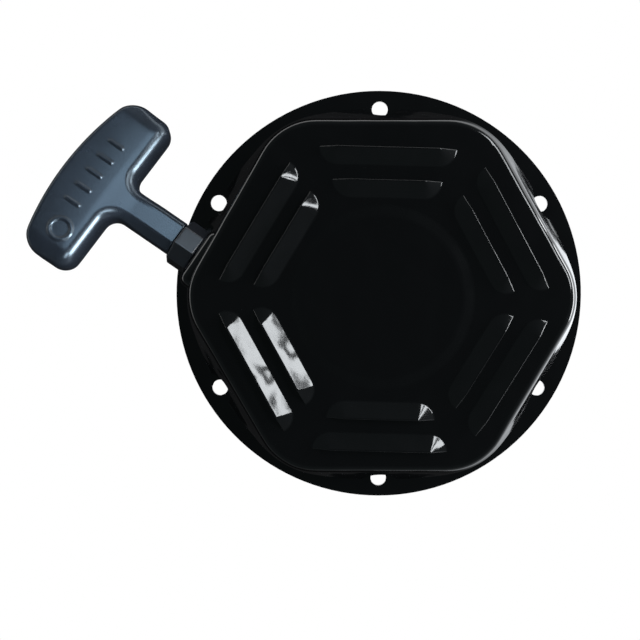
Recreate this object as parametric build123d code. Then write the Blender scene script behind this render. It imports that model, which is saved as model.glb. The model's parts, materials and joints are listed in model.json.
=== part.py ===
"""Recoil starter for a small single-cylinder engine: a pressed steel cover holding a spring-loaded rope reel.

Frame, in millimetres: the origin is the centre of the mounting face, on the reel's axis. +Z points out of the
engine, through the reel, to the cover's face. +Y points at one of the six bolt holes. The rope leaves to the
upper left, along PULL_ANGLE. Seen from +Z the reel turns clockwise when the handle is pulled.
"""

from build123d import *
import os
from math import atan2, cos, degrees, hypot, pi, radians, sin, tan

# ---- cover -------------------------------------------------------------------------------------------------
SHEET = 1.4              # steel thickness of the pressed cover
FLANGE_R = 116.0
BOLT_COUNT = 6
BOLT_CIRCLE_R = 105.5
BOLT_HOLE_R = 4.5        # clearance hole for an M8 bolt
FIRST_BOLT_ANGLE = 30.0
POCKET_R = 9.5           # room in the wall for each bolt's flanged head
POCKET_EDGE_R = 1.2
FACE_Z = 44.0            # height of the cover's face above the mounting face
DRUM_R_BASE = 104.0      # the round lower wall, with a slight draft
DRUM_R_TOP = 102.4
WALL_FOOT_R = 3.0        # radius where the wall turns out into the flange
HEX_APOTHEM = 91.3       # the hexagonal face, before its edge is rounded
HEX_CORNER_R = 32.0
FACET_ANGLE = 22.0       # slope of the six facets, from vertical
FACE_EDGE_R = 4.5
FACET_EDGE_R = 5.0
CREASE_MARGIN = 0.6      # the wall's crease ends this far below the rounded edge of the face
SHORTEST_CREASE = 1.0
TALLEST_CREASE = 30.0
EMBOSS_R = 49.0          # round raised panel over the spring
EMBOSS_RISE = 0.9
EMBOSS_STEP = 8.0        # width of its soft edge
EMBOSS_FOOT_R = 14.0
EMBOSS_CROWN_R = 14.0
LOUVRES = ((78.6, 36.0), (62.0, 29.0))   # distance of the open lip from the pattern's centre, and half its length
LOUVRE_SHIFT = (0.7, -1.5)   # the pattern of louvres sits slightly off the hexagon's centre, and turned
LOUVRE_TURN = -1.4
LOUVRE_WIDTH = 10.0
LOUVRE_RISE = 4.2
LOUVRE_FOOT_R = 3.0
LOUVRE_CROWN_R = 2.5
LOUVRE_LIP_R = 0.5       # rounded outer edge of each lip
MERGE = 1.0              # depth by which added forms reach into the form they join
OVERSHOOT = 1.0          # how far a cutting form reaches past what it cuts
TOUCH = 0.02             # offset that keeps a rounded foot from lying exactly tangent to a flat face

# ---- rope line ---------------------------------------------------------------------------------------------
PULL_ANGLE = 145.5       # direction the handle is pulled, from +X towards +Y
ROPE_OFFSET = 37.0       # distance of the straight rope from the reel's axis
ROPE_R = 2.5
ROPE_Z = 27.0
ROPE_PITCH = 5.1         # each layer of wound rope lies outside the last
ROPE_HALF_TURNS = 6
ROPE_TAIL_BEND_R = 8.0   # the inner end turns in to its anchor
ROPE_TAIL_BEND = 80.0
ROPE_CUT_GAP = 0.3       # gap between the wound rope and the straight rope

# ---- rope outlet, measured along the rope from the point nearest the axis ---------------------------------
OUTLET_BACK = 40.0
OUTLET_FACE = 94.0
OUTLET_WIDTH = 34.0
OUTLET_TOP_Z = 42.5
OUTLET_EDGE_R = 5.0
OUTLET_CUT = 60.0        # size of the space kept clear in front of the outlet
GUIDE_NECK_R = 9.0
GUIDE_HOLE_R = 9.1
GUIDE_NECK_START = 89.4
GUIDE_APOTHEM = 12.3     # the guide's eight flats
GUIDE_ROLL = 20.0        # turn of its flats from level
GUIDE_LENGTH = 12.4
GUIDE_BORE_R = 3.4
GUIDE_SOFT_EDGE = 1.2
GUIDE_MOUTH_R = 2.5      # rounding of the bore's mouths
RETAINER_R = 11.4
RETAINER_START = 90.2
RETAINER_T = 2.2
RETAINER_SPLIT = 6.0

# ---- shaft -------------------------------------------------------------------------------------------------
POST_R = 8.0
POST_BOTTOM_Z = 9.0
ARBOR_R = 10.0
ARBOR_BOTTOM_Z = 26.0
ARBOR_SLOT = 1.4
ARBOR_SLOT_DEPTH = 2.5
BASE_PLATE_R = 24.0
BASE_PLATE_T = 2.0
SCREW_R = 4.0            # M8, its thread drawn as a plain cylinder
SCREW_BORE_R = 4.05
SCREW_BORE_TOP_Z = 32.0
SCREW_TIP_Z = 30.0
SCREW_HEAD_Z = 2.0
SCREW_HEAD_ACROSS_FLATS = 13.0
SCREW_FLANGE_R = 9.0
SCREW_FLANGE_T = 1.5
WASHER_R = 14.0
WASHER_T = 1.6

# ---- reel --------------------------------------------------------------------------------------------------
REEL_R = 50.0
REEL_BASE_Z = 20.0
REEL_WEB = 4.0           # lower rope flange
GROOVE_WIDTH = 6.0
GROOVE_FLOOR_R = 18.8
UPPER_FLANGE = 2.0
SPRING_ROOM_R = 40.0
SPRING_WALL = 3.0
REEL_TOP_Z = 42.0
RIM_LIP = 2.5            # stiffening lip under the web's edge
HUB_BOTTOM_Z = 13.0
HUB_R = 12.5
BUSH_R = 10.0
BUSH_TOP_Z = 25.8
SEAT_GAP = 0.02          # radial gap of parts that are pressed together
RUNNING_GAP = 0.05       # radial gap of parts that turn on each other
ARBOR_GAP = 0.4
ANCHOR_POCKET_R = 4.6
ANCHOR_POCKET_TOP_Z = 31.1
ANCHOR_KNOT_R = 3.9
ROPE_CHANNEL_R = 2.9

# ---- mainspring --------------------------------------------------------------------------------------------
SPRING_STRIP = 0.7
SPRING_BOTTOM_Z = 32.6
SPRING_WIDTH = 8.4
SPRING_HALF_TURNS = 18
SPRING_OUTER_R = 38.6
SPRING_PITCH = 2.95
SPRING_HOOK = 3.6        # how far each end hooks past the coil
WALL_SLOT = 1.6
WALL_SLOT_GAP = 0.4      # room under the strip in the wall's slot

# ---- ratchet -----------------------------------------------------------------------------------------------
PAWL_PIVOT_R = 27.0
PAWL_LENGTH = 24.3
PAWL_REST_ANGLE = -108.5 # direction of the pawl's arm at rest, for the pawl whose pivot is on +X
PAWL_SWING = 34.0
PAWL_BOTTOM_Z = 13.0
PAWL_T = 4.5
PAWL_EYE_R = 5.8
PAWL_TIP_R = 2.8
PAWL_PIN_R = 3.0
PIN_HEAD_R = 4.6
PIN_HEAD_T = 1.1
PIN_HEAD_GAP = 0.2
PAWL_SPRING_R = 4.4
PAWL_SPRING_WIRE_R = 0.4
PAWL_SPRING_TURNS = 2
PEG_R = 2.0
PEG_REACH = 12.0
PEG_BOTTOM_Z = 8.9
PEG_SLOT_GAP = 0.2
GUIDE_TURN = 30.0        # the ratchet guide lags the reel by this much, which swings the pawls out
GUIDE_BOTTOM_Z = 9.1
GUIDE_T = 2.0
GUIDE_BOSS_R = 17.0
GUIDE_LOBE_R = 5.6
PEG_PATH_STEPS = 6
FRICTION_SPRING_R = 14.5
FRICTION_WIRE_R = 0.8
FRICTION_TURNS = 4

# ---- handle, measured along the rope from the handle's inner end -------------------------------------------
HANDLE_GAP = 0.2         # gap between the handle at rest and the guide
HANDLE_START = OUTLET_FACE + GUIDE_LENGTH + HANDLE_GAP
HANDLE_ROLL = 12.0       # the handle hangs on its rope and rests turned by this much
STEM_WIDTH = 18.6
STEM_HEIGHT = 19.0
STEM_CHAMFER = 3.6
STEM_SOFT_EDGE = 0.8
GRIP_INNER = 36.3
GRIP_OUTER_MID = 70.2
GRIP_OUTER_END = 62.4
GRIP_HALF_LENGTH = 48.5
GRIP_HEIGHT = 22.6
GRIP_CORNER_R = 8.0
GRIP_EDGE_R = 4.5
KNOT_POCKET_R = 8.0
KNOT_POCKET_DEPTH = 15.0
INSERT_T = 2.0
KNOT_R = 6.0
KNOT_LENGTH = 9.0

SIDES = [FIRST_BOLT_ANGLE + i * 360 / BOLT_COUNT for i in range(BOLT_COUNT)]

os.makedirs("parts", exist_ok=True)


def save(name, shape):
    """Writes one sub-part as its own STEP file, named after its node."""
    export_step(shape, f"parts/{name}.step")


# ---- small shapes ------------------------------------------------------------------------------------------
def disc(radius, z_low, z_high):
    """A plain disc about the reel's axis."""
    return Pos(0, 0, z_low) * extrude(Circle(radius), z_high - z_low)


def ring(outer_r, inner_r, z_low, z_high):
    """A plain tube about the reel's axis."""
    return Pos(0, 0, z_low) * extrude(Circle(outer_r) - Circle(inner_r), z_high - z_low)


def polar(radius, angle):
    """A point in the XY plane from its distance and direction in degrees."""
    return (radius * cos(radians(angle)), radius * sin(radians(angle)))


def rope_line(along, height=ROPE_Z):
    """A location on the rope's line: X points along the pull, Y away from the reel's axis, Z stays up."""
    foot_x, foot_y = polar(ROPE_OFFSET, PULL_ANGLE + 90)
    step_x, step_y = polar(along, PULL_ANGLE)
    return Pos(foot_x + step_x, foot_y + step_y, height) * Rot(0, 0, PULL_ANGLE)


def rod_on_rope_line(radius, start, end):
    """A rod about the rope's line."""
    return rope_line(start) * Rot(0, 90, 0) * extrude(Circle(radius), end - start)


def spiral_edges(outer_r, pitch, half_turns, shift=0.0):
    """Half circles that shrink by half a pitch each, joined smoothly, running inwards from +X.

    A shift moves the line outwards, so that two shifted lines bound a strip.
    """
    edges = []
    for i in range(half_turns):
        side = 1 if i % 2 == 0 else -1
        radius = outer_r - pitch / 4 - i * pitch / 2 + shift
        edges.append(CenterArc((side * pitch / 4, 0), radius, 0 if side > 0 else 180, 180))
    return edges


# ---- cover -------------------------------------------------------------------------------------------------
def hexagon(apothem, corner_r):
    """The cover's hexagon with rounded corners, its flats facing the bolt holes."""
    plain = RegularPolygon(apothem, 6, major_radius=False)
    return fillet(plain.vertices(), corner_r)


def dome_form(inset):
    """The cover's outer form, or with an inset its inner form: a round drum under a sloping hexagon."""
    top = FACE_Z - inset
    slope = tan(radians(FACET_ANGLE))
    drum = Solid.make_cone(DRUM_R_BASE - inset, DRUM_R_TOP - inset, top)
    base_apothem = HEX_APOTHEM - inset + top * slope
    base_corner_r = HEX_CORNER_R - inset + top * slope
    crown = extrude(hexagon(base_apothem, base_corner_r), top, taper=FACET_ANGLE)
    dome = Part() + drum & crown
    rim = dome.edges().filter_by(lambda e: abs(e.center().Z - top) < TOUCH)
    dome = fillet(rim, FACE_EDGE_R - inset)
    below_rim = top - FACE_EDGE_R - CREASE_MARGIN
    crease = dome.edges().filter_by(lambda e: SHEET - inset < e.center().Z < below_rim)
    crease = crease.filter_by(lambda e: e.length > SHORTEST_CREASE and e.bounding_box().size.Z < TALLEST_CREASE)
    return fillet(crease, FACET_EDGE_R - inset)


def pressed_step(width, rise, foot_r, crown_r, inset):
    """Section of a pressed rise from the face: a slope from a level foot at x = -width to a level crown at x = 0.

    The sheet's inner side, given by an inset, keeps the same centres of curvature.
    """
    both_r = foot_r + crown_r
    slope_length = (width**2 + (rise - both_r)**2 - both_r**2) ** 0.5
    slope = atan2(rise - both_r, width) + atan2(both_r, slope_length)
    foot_centre = (-width, foot_r - TOUCH)
    crown_centre = (0, rise - crown_r - TOUCH)
    foot_r += inset
    crown_r -= inset
    slope_start = (foot_centre[0] + foot_r * sin(slope), foot_centre[1] - foot_r * cos(slope))
    slope_end = (crown_centre[0] - crown_r * sin(slope), crown_centre[1] + crown_r * cos(slope))
    foot = foot_centre[1] - foot_r
    crown = crown_centre[1] + crown_r
    edges = [
        Line((0, foot - MERGE), (-width, foot - MERGE)),
        Line((-width, foot - MERGE), (-width, foot)),
        CenterArc(foot_centre, foot_r, -90, degrees(slope)),
        Line(slope_start, slope_end),
        CenterArc(crown_centre, crown_r, 90 + degrees(slope), -degrees(slope)),
        Line((0, crown), (0, foot - MERGE)),
    ]
    return Plane.XZ * make_face(edges)


def emboss_form(inset):
    """The round raised panel."""
    section = pressed_step(EMBOSS_STEP, EMBOSS_RISE, EMBOSS_FOOT_R, EMBOSS_CROWN_R, inset)
    edge = revolve(Pos(EMBOSS_STEP - EMBOSS_R, 0, FACE_Z) * section, Axis.Z)
    top = FACE_Z - TOUCH - inset + EMBOSS_RISE
    return edge + disc(EMBOSS_R - EMBOSS_STEP, FACE_Z - inset - MERGE, top)


def louvre_form(side, lip, half_length, inset):
    """One raised hood, or with an inset the hollow under it. It is open where it is cut off at the lip."""
    section = pressed_step(LOUVRE_WIDTH, LOUVRE_RISE, LOUVRE_FOOT_R, LOUVRE_CROWN_R, inset)
    straight = half_length - LOUVRE_WIDTH
    middle = Pos(0, straight, 0) * extrude(section, 2 * straight)
    far_end = Pos(0, straight, 0) * revolve(section, Axis.Z, -90)
    near_end = Pos(0, -straight, 0) * revolve(section, Axis.Z, 90)
    hood = middle + far_end + near_end
    if inset == 0:
        lip_edges = hood.edges().filter_by(lambda e: abs(e.center().X) < TOUCH / 2 and e.center().Z > TOUCH)
        hood = fillet(lip_edges, LOUVRE_LIP_R)
    return Pos(*LOUVRE_SHIFT) * Rot(0, 0, side + LOUVRE_TURN) * Pos(lip, 0, FACE_Z) * hood


def wall_foot_form(inset):
    """The rounded foot of the wall."""
    centre_z = SHEET + WALL_FOOT_R
    draft = (DRUM_R_BASE - DRUM_R_TOP) / FACE_Z
    centre_r = DRUM_R_BASE - draft * centre_z + WALL_FOOT_R
    radius = WALL_FOOT_R + inset
    inside = centre_r - radius - MERGE
    edges = [
        Line((inside, centre_z - radius), (centre_r, centre_z - radius)),
        CenterArc((centre_r, centre_z), radius, 270, -90),
        Line((centre_r - radius, centre_z), (inside, centre_z)),
        Line((inside, centre_z), (inside, centre_z - radius)),
    ]
    return revolve(Plane.XZ * make_face(edges), Axis.Z)


def outlet_form(inset):
    """The squared boss that the rope leaves through."""
    length = OUTLET_FACE - inset - OUTLET_BACK
    width = OUTLET_WIDTH - 2 * inset
    top = OUTLET_TOP_Z - inset
    box = Pos(length / 2, 0, top / 2) * Box(length, width, top)
    upper = box.edges().filter_by(Axis.X).group_by(Axis.Z)[-1]
    front = box.faces().sort_by(Axis.X)[-1].edges().filter_by(lambda e: e.center().Z > MERGE)
    return rope_line(OUTLET_BACK, 0) * fillet(upper + front, OUTLET_EDGE_R - inset)


def outlet_clearance(inset):
    """The space in front of the outlet that the wall is set back from."""
    box = Box(OUTLET_CUT, OUTLET_CUT, OUTLET_CUT, align=(Align.MIN, Align.MIN, Align.MIN))
    return rope_line(OUTLET_FACE - inset, SHEET - inset) * Pos(0, -OUTLET_WIDTH / 2 - inset, 0) * box


def bolt_cylinders(radius, z_low):
    """One upright cylinder at each bolt hole."""
    upright = disc(radius, z_low, FACE_Z + MERGE)
    return [Pos(*polar(BOLT_CIRCLE_R, angle), 0) * upright for angle in SIDES]


def pocket_edges(form):
    """The upper edges of the bolt pockets: those that lie on a pocket's cylinder."""
    centres = [polar(BOLT_CIRCLE_R, angle) for angle in SIDES]

    def gap(point):
        return min(abs(hypot(point.X - x, point.Y - y) - POCKET_R) for x, y in centres)

    upper = form.edges().filter_by(lambda e: e.center().Z > SHEET + WALL_FOOT_R)
    return upper.filter_by(lambda e: max(gap(e @ 0), gap(e @ 0.5), gap(e @ 1)) < TOUCH)


def cover_form(inset):
    """The whole cover as a filled block, or with an inset the filled space inside it."""
    form = dome_form(inset) + wall_foot_form(inset)
    form -= outlet_clearance(inset)
    form += outlet_form(inset)
    form -= bolt_cylinders(POCKET_R + inset, SHEET - inset)
    return form


def raised_forms(inset):
    """Everything pressed up out of the face."""
    forms = [emboss_form(inset)]
    for side in SIDES:
        forms += [louvre_form(side, lip, half_length, inset) for lip, half_length in LOUVRES]
    return forms


def cover_shell():
    """The pressed cover, open on the engine's side."""
    flange = disc(FLANGE_R, 0, SHEET)
    block = cover_form(0)
    block = fillet(pocket_edges(block), POCKET_EDGE_R)
    shell = flange + block + raised_forms(0)
    shell -= [cover_form(SHEET)] + raised_forms(SHEET)
    shell -= [Pos(0, 0, -MERGE) * hole for hole in bolt_cylinders(BOLT_HOLE_R, 0)]
    return shell - rod_on_rope_line(GUIDE_HOLE_R, GUIDE_NECK_START, OUTLET_FACE + MERGE)


# ---- rope outlet -------------------------------------------------------------------------------------------
def rope_guide():
    """The moulded guide in the outlet: an eight-sided collar outside the wall, and a neck through it."""
    nose_end = OUTLET_FACE + GUIDE_LENGTH
    octagon = RegularPolygon(GUIDE_APOTHEM, 8, major_radius=False, rotation=GUIDE_ROLL + 22.5)
    nose = fillet(extrude(octagon, GUIDE_LENGTH).edges(), GUIDE_SOFT_EDGE)
    guide = rope_line(OUTLET_FACE) * Rot(0, 90, 0) * nose
    guide += rod_on_rope_line(GUIDE_NECK_R, GUIDE_NECK_START, OUTLET_FACE + MERGE)
    guide -= rod_on_rope_line(GUIDE_BORE_R, GUIDE_NECK_START - OVERSHOOT, nose_end + OVERSHOOT)
    mouths = guide.edges().filter_by(lambda e: abs(e.length - 2 * pi * GUIDE_BORE_R) < TOUCH)
    return fillet(mouths, GUIDE_MOUTH_R)


def guide_retainer():
    """The spring ring that grips the guide's neck behind the wall, split like a C."""
    end = RETAINER_START + RETAINER_T
    tube = rod_on_rope_line(RETAINER_R, RETAINER_START, end)
    tube -= rod_on_rope_line(GUIDE_NECK_R + SEAT_GAP, RETAINER_START - OVERSHOOT, end + OVERSHOOT)
    split = rope_line(RETAINER_START) * Pos(0, 0, -RETAINER_R) * Box(2 * RETAINER_R, RETAINER_SPLIT, RETAINER_R)
    return tube - split


# ---- shaft -------------------------------------------------------------------------------------------------
def post_base_plate():
    """The plate that joins the shaft to the inside of the cover's face."""
    top = FACE_Z - TOUCH - SHEET + EMBOSS_RISE
    plate = disc(BASE_PLATE_R, top - BASE_PLATE_T, top)
    return fillet(plate.edges().group_by(Axis.Z)[0], BASE_PLATE_T / 4)


def centre_post():
    """The reel's shaft, with the thicker arbor that holds the mainspring's inner end."""
    top = FACE_Z - TOUCH - SHEET + EMBOSS_RISE - BASE_PLATE_T
    post = disc(POST_R, POST_BOTTOM_Z, ARBOR_BOTTOM_Z) + disc(ARBOR_R, ARBOR_BOTTOM_Z, top)
    post -= disc(SCREW_BORE_R, POST_BOTTOM_Z - OVERSHOOT, SCREW_BORE_TOP_Z)
    slot_height = top - SPRING_BOTTOM_Z + WALL_SLOT_GAP
    slot = Box(2 * ARBOR_SLOT_DEPTH, ARBOR_SLOT, slot_height, align=(Align.CENTER, Align.CENTER, Align.MIN))
    return post - Pos(ARBOR_R, 0, top - slot_height) * slot


def centre_screw():
    """The flanged hexagon screw that keeps the reel and the ratchet on the shaft."""
    seat = POST_BOTTOM_Z - WASHER_T
    head = Pos(0, 0, SCREW_HEAD_Z) * extrude(
        RegularPolygon(SCREW_HEAD_ACROSS_FLATS / 2, 6, major_radius=False), seat - SCREW_HEAD_Z)
    narrow_r = SCREW_FLANGE_R - SCREW_FLANGE_T
    wide_r = SCREW_FLANGE_R + SCREW_FLANGE_T
    head = head & Pos(0, 0, SCREW_HEAD_Z) * Solid.make_cone(narrow_r, wide_r, seat - SCREW_HEAD_Z)
    flange = disc(SCREW_FLANGE_R, seat - SCREW_FLANGE_T, seat)
    return head + flange + disc(SCREW_R, seat, SCREW_TIP_Z)


def thrust_washer():
    """The washer between the screw and the ratchet guide."""
    return ring(WASHER_R, SCREW_BORE_R, POST_BOTTOM_Z - WASHER_T, POST_BOTTOM_Z)


# ---- reel --------------------------------------------------------------------------------------------------
def rope_tail():
    """The wound rope's inner end, bent in towards its anchor. It starts where the last half circle ends."""
    start = ROPE_OFFSET - ROPE_HALF_TURNS * ROPE_PITCH / 2
    return CenterArc((start - ROPE_TAIL_BEND_R, 0), ROPE_TAIL_BEND_R, 0, ROPE_TAIL_BEND)


def wound_rope_place():
    """Where the wound rope's own frame sits: its X axis points at the rope's foot point."""
    return Pos(0, 0, ROPE_Z) * Rot(0, 0, PULL_ANGLE + 90)


def tail_end():
    """The point where the rope's tail ends, in the wound rope's own frame."""
    end = rope_tail() @ 1
    return (end.X, end.Y)


def rope_coil():
    """The rope wound on the reel, and the stopper knot at its inner end."""
    path = Wire(spiral_edges(ROPE_OFFSET, ROPE_PITCH, ROPE_HALF_TURNS) + [rope_tail()])
    start = Plane(origin=path @ 0, z_dir=path % 0)
    rope = sweep(start * Circle(ROPE_R), path)
    knot = Pos(*tail_end()) * Sphere(ANCHOR_KNOT_R)
    return wound_rope_place() * (rope + knot)


def reel_blank():
    """The reel's turned form: web, rope groove, spring room and hub."""
    groove_bottom = REEL_BASE_Z + REEL_WEB
    groove_top = groove_bottom + GROOVE_WIDTH
    room_floor = groove_top + UPPER_FLANGE
    reel = disc(REEL_R, REEL_BASE_Z, groove_bottom)
    reel += disc(GROOVE_FLOOR_R, groove_bottom, groove_top)
    reel += disc(REEL_R, groove_top, room_floor)
    reel += ring(SPRING_ROOM_R + SPRING_WALL, SPRING_ROOM_R, room_floor, REEL_TOP_Z)
    reel += disc(HUB_R, HUB_BOTTOM_Z, REEL_BASE_Z)
    reel += ring(REEL_R, REEL_R - SPRING_WALL, REEL_BASE_Z - RIM_LIP, REEL_BASE_Z)
    reel -= disc(ARBOR_R + ARBOR_GAP, BUSH_TOP_Z, room_floor + OVERSHOOT)
    return reel - disc(BUSH_R + SEAT_GAP, HUB_BOTTOM_Z - OVERSHOOT, BUSH_TOP_Z)


def anchor_room():
    """The pocket for the rope's stopper knot, open on the engine's side, and the rope's channel to it."""
    pocket_height = ANCHOR_POCKET_TOP_Z - REEL_BASE_Z + OVERSHOOT
    pocket_bottom = REEL_BASE_Z - OVERSHOOT - ROPE_Z
    pocket = Pos(*tail_end(), pocket_bottom) * extrude(Circle(ANCHOR_POCKET_R), pocket_height)
    path = rope_tail()
    channel = sweep(Plane(origin=path @ 0, z_dir=path % 0) * Circle(ROPE_CHANNEL_R), path)
    return wound_rope_place() * (pocket + channel)


def rope_reel():
    """The moulded reel, with the slot for the mainspring's outer hook and the holes for the pawls' pins."""
    reel = reel_blank() - anchor_room()
    slot_bottom = SPRING_BOTTOM_Z - WALL_SLOT_GAP
    slot_height = REEL_TOP_Z + OVERSHOOT - slot_bottom
    slot = Box(3 * SPRING_WALL, WALL_SLOT, slot_height, align=(Align.CENTER, Align.CENTER, Align.MIN))
    reel -= Pos(SPRING_ROOM_R + SPRING_WALL / 2, 0, slot_bottom) * slot
    for turn in (0, 180):
        reel -= Rot(0, 0, turn) * Pos(PAWL_PIVOT_R, 0, 0) * disc(
            PAWL_PIN_R + SEAT_GAP, REEL_BASE_Z - OVERSHOOT, REEL_BASE_Z + REEL_WEB + OVERSHOOT)
    return reel


def hub_bush():
    """The bearing bush in the reel's hub."""
    return ring(BUSH_R, POST_R + RUNNING_GAP, HUB_BOTTOM_Z, BUSH_TOP_Z)


def recoil_spring():
    """The flat spiral mainspring, hooked into the arbor inside and through the spring room's wall outside."""
    half = SPRING_STRIP / 2
    outer = spiral_edges(SPRING_OUTER_R, SPRING_PITCH, SPRING_HALF_TURNS, half)
    inner = spiral_edges(SPRING_OUTER_R, SPRING_PITCH, SPRING_HALF_TURNS, -half)
    last_r = SPRING_OUTER_R - SPRING_HALF_TURNS * SPRING_PITCH / 2
    ends = [
        Line((SPRING_OUTER_R - half, 0), (SPRING_OUTER_R + half, 0)),
        Line((last_r - half, 0), (last_r + half, 0)),
    ]
    strip = extrude(make_face(outer + inner + ends), SPRING_WIDTH)
    hook = Box(SPRING_HOOK, SPRING_STRIP, SPRING_WIDTH, align=(Align.MIN, Align.CENTER, Align.MIN))
    outer_hook = Pos(SPRING_OUTER_R - half, 0, 0) * hook
    inner_hook = Pos(last_r + half - SPRING_HOOK, 0, 0) * hook
    return Pos(0, 0, SPRING_BOTTOM_Z) * (strip + outer_hook + inner_hook)


# ---- ratchet -----------------------------------------------------------------------------------------------
def pawl():
    """The pawl whose pivot is on +X, at rest, with the peg that the ratchet guide steers."""
    tip = PAWL_LENGTH - PAWL_TIP_R
    eye = Circle(PAWL_EYE_R)
    claw = Pos(tip, 0) * Circle(PAWL_TIP_R) + Pos(tip + PAWL_TIP_R / 2, PAWL_TIP_R / 2) * Rectangle(
        PAWL_TIP_R, PAWL_TIP_R)
    arm = make_hull((eye + Pos(tip, 0) * Circle(PAWL_TIP_R)).edges())
    body = extrude(arm + claw, PAWL_T)
    body -= Pos(0, 0, -OVERSHOOT) * extrude(Circle(PAWL_PIN_R + RUNNING_GAP), PAWL_T + 2 * OVERSHOOT)
    peg_length = PAWL_BOTTOM_Z - PEG_BOTTOM_Z + MERGE
    peg = Pos(PEG_REACH, 0, PEG_BOTTOM_Z - PAWL_BOTTOM_Z) * extrude(Circle(PEG_R), peg_length)
    return Pos(PAWL_PIVOT_R, 0, PAWL_BOTTOM_Z) * Rot(0, 0, PAWL_REST_ANGLE) * (body + peg)


def peg_path():
    """The peg's centre, seen from the ratchet guide, as the guide lags and the pawl swings out in step."""
    points = []
    for i in range(PEG_PATH_STEPS + 1):
        share = i / PEG_PATH_STEPS
        arm_angle = PAWL_REST_ANGLE + share * PAWL_SWING
        reach_x, reach_y = polar(PEG_REACH, arm_angle)
        x, y = PAWL_PIVOT_R + reach_x, reach_y
        points.append(polar(hypot(x, y), degrees(atan2(y, x)) - share * GUIDE_TURN))
    return points


def thick_path(points, radius):
    """A round-ended band along a chain of points."""
    band = Pos(*points[0]) * Circle(radius)
    for (x0, y0), (x1, y1) in zip(points, points[1:]):
        place = Pos((x0 + x1) / 2, (y0 + y1) / 2) * Rot(0, 0, degrees(atan2(y1 - y0, x1 - x0)))
        band += place * Rectangle(hypot(x1 - x0, y1 - y0), 2 * radius)
        band += Pos(x1, y1) * Circle(radius)
    return band


def ratchet_guide():
    """The plate that lags the reel and steers both pawls through its two cam slots."""
    path = peg_path()
    plate = Circle(GUIDE_BOSS_R)
    slots = Sketch()
    for turn in (0, 180):
        arm = Rot(0, 0, turn) * make_hull((thick_path(path, GUIDE_LOBE_R) + Circle(GUIDE_LOBE_R)).edges())
        plate += arm
        slots += Rot(0, 0, turn) * thick_path(path, PEG_R + PEG_SLOT_GAP)
    return Pos(0, 0, GUIDE_BOTTOM_Z) * extrude(plate - slots - Circle(POST_R + RUNNING_GAP), GUIDE_T)


def coil_spring(mean_r, wire_r, z_low, z_high, turns):
    """A round-wire coil spring about +Z."""
    height = z_high - z_low - 2 * wire_r
    path = Helix(height / turns, height, mean_r)
    wire = sweep(Plane(origin=path @ 0, z_dir=path % 0) * Circle(wire_r), path, is_frenet=True)
    return Pos(0, 0, z_low + wire_r) * wire


def friction_spring():
    """The spring round the hub that presses the ratchet guide against its washer."""
    top = REEL_BASE_Z - PIN_HEAD_GAP
    bottom = GUIDE_BOTTOM_Z + GUIDE_T + PIN_HEAD_GAP
    return coil_spring(FRICTION_SPRING_R, FRICTION_WIRE_R, bottom, top, FRICTION_TURNS)


def pawl_pin():
    """One headed pin, pressed into the reel's web."""
    head_top = PAWL_BOTTOM_Z - PIN_HEAD_GAP
    head = disc(PIN_HEAD_R, head_top - PIN_HEAD_T, head_top)
    head = fillet(head.edges().group_by(Axis.Z)[0], PIN_HEAD_T / 2)
    return Pos(PAWL_PIVOT_R, 0, 0) * (head + disc(PAWL_PIN_R, head_top, REEL_BASE_Z + REEL_WEB))


def pawl_spring():
    """The small coil round one pin that swings its pawl back in."""
    bottom = PAWL_BOTTOM_Z + PAWL_T + PIN_HEAD_GAP
    top = REEL_BASE_Z - PIN_HEAD_GAP
    coil = coil_spring(PAWL_SPRING_R, PAWL_SPRING_WIRE_R, bottom, top, PAWL_SPRING_TURNS)
    return Pos(PAWL_PIVOT_R, 0, 0) * coil


# ---- handle ------------------------------------------------------------------------------------------------
def grip_outline():
    """The T of the handle seen from above: the cross bar, straight inside and bowed outside."""
    corners = [(GRIP_OUTER_END, GRIP_HALF_LENGTH), (GRIP_INNER, GRIP_HALF_LENGTH),
               (GRIP_INNER, -GRIP_HALF_LENGTH), (GRIP_OUTER_END, -GRIP_HALF_LENGTH)]
    bow = ThreePointArc(corners[3], (GRIP_OUTER_MID, 0), corners[0])
    bar = make_face([Line(a, b) for a, b in zip(corners, corners[1:])] + [bow])
    return fillet(bar.vertices(), GRIP_CORNER_R)


def handle_grip():
    """The moulded T-handle."""
    bar = Pos(0, 0, -GRIP_HEIGHT / 2) * extrude(grip_outline(), GRIP_HEIGHT)
    rims = bar.edges().group_by(Axis.Z)
    bar = fillet(rims[0] + rims[-1], GRIP_EDGE_R)
    stem_length = (GRIP_INNER + GRIP_OUTER_END) / 2
    stem = Pos(stem_length / 2, 0, 0) * Box(stem_length, STEM_WIDTH, STEM_HEIGHT)
    stem = chamfer(stem.edges().filter_by(Axis.X), STEM_CHAMFER)
    stem = fillet(stem.edges().filter_by(Axis.X) + stem.faces().sort_by(Axis.X)[0].edges(), STEM_SOFT_EDGE)
    grip = bar + stem
    pocket_start = GRIP_OUTER_MID - KNOT_POCKET_DEPTH
    grip -= Rot(0, 90, 0) * extrude(Circle(GUIDE_BORE_R), GRIP_OUTER_MID)
    pocket = extrude(Circle(KNOT_POCKET_R), KNOT_POCKET_DEPTH + OVERSHOOT)
    grip -= Pos(pocket_start, 0, 0) * Rot(0, 90, 0) * pocket
    return rope_line(HANDLE_START) * Rot(HANDLE_ROLL, 0, 0) * grip


def handle_insert():
    """The steel washer at the bottom of the handle's pocket, which the knot pulls against."""
    start = HANDLE_START + GRIP_OUTER_MID - KNOT_POCKET_DEPTH
    washer = rod_on_rope_line(KNOT_POCKET_R - SEAT_GAP, start, start + INSERT_T)
    return washer - rod_on_rope_line(GUIDE_BORE_R, start - OVERSHOOT, start + INSERT_T + OVERSHOOT)


def knot_start():
    """Distance along the rope where the knot in the handle starts."""
    return HANDLE_START + GRIP_OUTER_MID - KNOT_POCKET_DEPTH + INSERT_T + ROPE_CUT_GAP


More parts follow.
